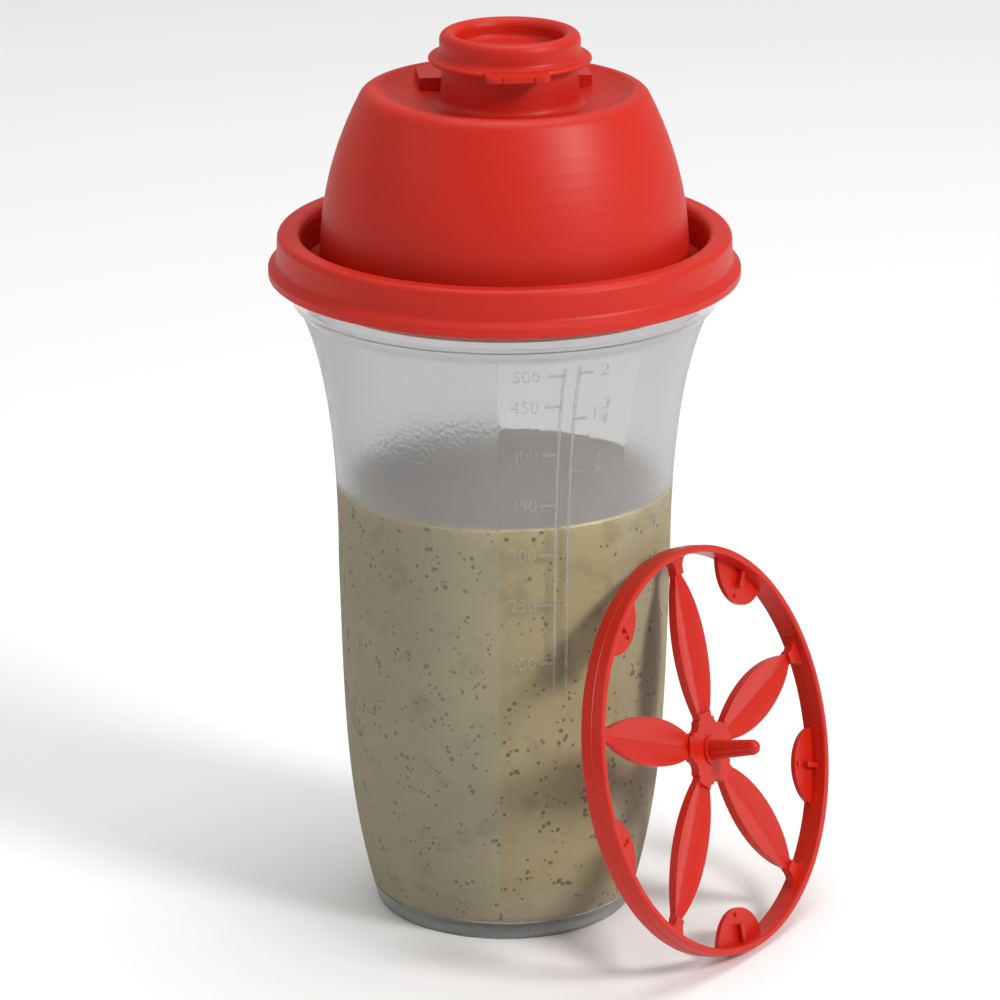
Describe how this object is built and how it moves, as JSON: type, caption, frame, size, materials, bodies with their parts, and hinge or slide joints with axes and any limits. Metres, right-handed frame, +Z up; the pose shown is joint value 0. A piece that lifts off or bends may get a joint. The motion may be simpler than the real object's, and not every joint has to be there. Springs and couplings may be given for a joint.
{
  "type": "salad dressing shaker bottle",
  "caption": "Flared translucent shaker tumbler with a moulded measuring scale, a dome snap lid with a flip pour cap, and a loose leaf-bladed mixing wheel leaning beside it.",
  "frame": {"origin": "centre of the tumbler's foot ring, on the surface it stands on", "axes": "+Z up along the tumbler's axis, -Y towards the viewer and the measuring scale, +X to the side where the wheel leans"},
  "size_m": [0.1248, 0.1168, 0.1994],
  "materials": {
    "frosted_body": "frosted translucent moulded polypropylene",
    "red_lid": "satin moulded polyethylene, self-coloured",
    "red_wheel": "satin moulded polypropylene, self-coloured"
  },
  "bodies": {
    "tumbler": {"tumbler": "frosted_body"},
    "lid": {"dome_lid": "red_lid"},
    "cap": {"pour_cap": "red_lid"},
    "wheel": {"mixing_wheel": "red_wheel"}
  },
  "joints": [
    {"name": "lid_lift", "type": "slide", "parent": "tumbler", "child": "lid", "axis": [0, 0, 1], "range_m": [0, 0.06]},
    {"name": "cap_hinge", "type": "hinge", "parent": "lid", "child": "cap", "pos_m": [-0.00058, 0.01963, 0.1927], "axis": [-0.9962, -0.0872, 0], "range_deg": [0, 140]},
    {"name": "wheel_lift", "type": "slide", "parent": "tumbler", "child": "wheel", "axis": [0.42, -0.27, 0.8664], "range_m": [0, 0.12]}
  ]
}
